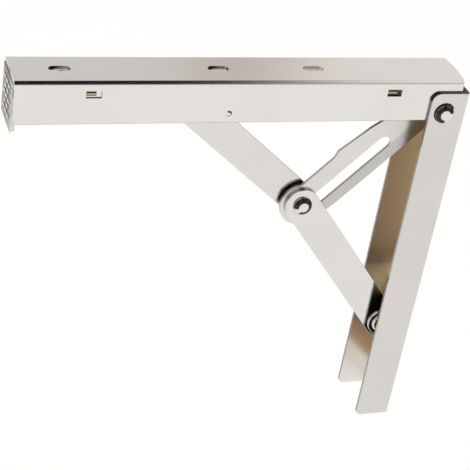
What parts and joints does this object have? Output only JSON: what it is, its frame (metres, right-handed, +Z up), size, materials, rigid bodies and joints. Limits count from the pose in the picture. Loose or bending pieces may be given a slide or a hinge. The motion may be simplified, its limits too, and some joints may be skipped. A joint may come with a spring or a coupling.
{
  "type": "folding table bracket",
  "caption": "Folding table bracket: channel table arm and wall arm held square by two plain links and a slotted locking link, with a push-in release bar.",
  "frame": {"origin": "centre of the wall arm's middle screw hole, at its back face against the wall", "axes": "+X into the wall, the table arm runs towards -X, +Z up, Y = 0 is the middle plane of both channels"},
  "size_m": [0.3067, 0.0458, 0.2831],
  "materials": {
    "nickel_sheet": "satin",
    "nickel_links": "satin",
    "rivet_steel": "satin",
    "spring_steel": "satin"
  },
  "bodies": {
    "wall_arm": {"wall_channel": "nickel_sheet", "pivot_lug": "nickel_links", "hinge_pin": "rivet_steel", "hinge_spacer_near": "rivet_steel", "hinge_spacer_far": "rivet_steel", "lower_rivet": "rivet_steel", "lower_washer": "rivet_steel"},
    "table_arm": {"table_channel": "nickel_sheet", "spring_stud": "rivet_steel", "release_spring": "spring_steel"},
    "release": {"release_bar": "nickel_sheet"},
    "lower_arm": {"lower_link": "nickel_links", "mid_rivet": "rivet_steel"},
    "slot_arm": {"slotted_link": "nickel_links", "slot_roller": "rivet_steel"},
    "sliding_block": {"slide_block": "rivet_steel", "upper_rivet": "rivet_steel", "upper_washer": "rivet_steel"},
    "upper_arm": {"upper_link": "nickel_links", "mid_washer": "rivet_steel", "mid_rear_rivet": "rivet_steel"}
  },
  "joints": [
    {"name": "table_fold", "type": "hinge", "parent": "wall_arm", "child": "table_arm", "pos_m": [-0.016, 0, 0.135], "axis": [0, -1, 0], "range_deg": [0, 90]},
    {"name": "lower_turn", "type": "hinge", "parent": "wall_arm", "child": "lower_arm", "pos_m": [-0.01894, 0, -0.045], "axis": [0, 1, 0], "range_deg": [0, 38.58]},
    {"name": "slot_turn", "type": "hinge", "parent": "wall_arm", "child": "slot_arm", "pos_m": [-0.016, 0, 0.135], "axis": [0, -1, 0], "range_deg": [0, 45.85]},
    {"name": "block_slide", "type": "slide", "parent": "table_arm", "child": "sliding_block", "axis": [1, 0, 0], "range_m": [0, 0.00591]},
    {"name": "upper_turn", "type": "hinge", "parent": "sliding_block", "child": "upper_arm", "pos_m": [-0.198, 0, 0.142], "axis": [0, -1, 0], "range_deg": [0, 37.95]},
    {"name": "release_push", "type": "slide", "parent": "table_arm", "child": "release", "axis": [1, 0, 0], "range_m": [0, 0.003], "stiffness_N_per_m": 600, "springref_m": -0.004}
  ],
  "couplings": [
    {"joint": "lower_turn", "follows": "table_fold", "ratio": 0.42814},
    {"joint": "slot_turn", "follows": "table_fold", "ratio": 0.50889},
    {"joint": "block_slide", "follows": "table_fold", "m_per_rad": 0.0037306},
    {"joint": "upper_turn", "follows": "table_fold", "ratio": 0.42115}
  ]
}
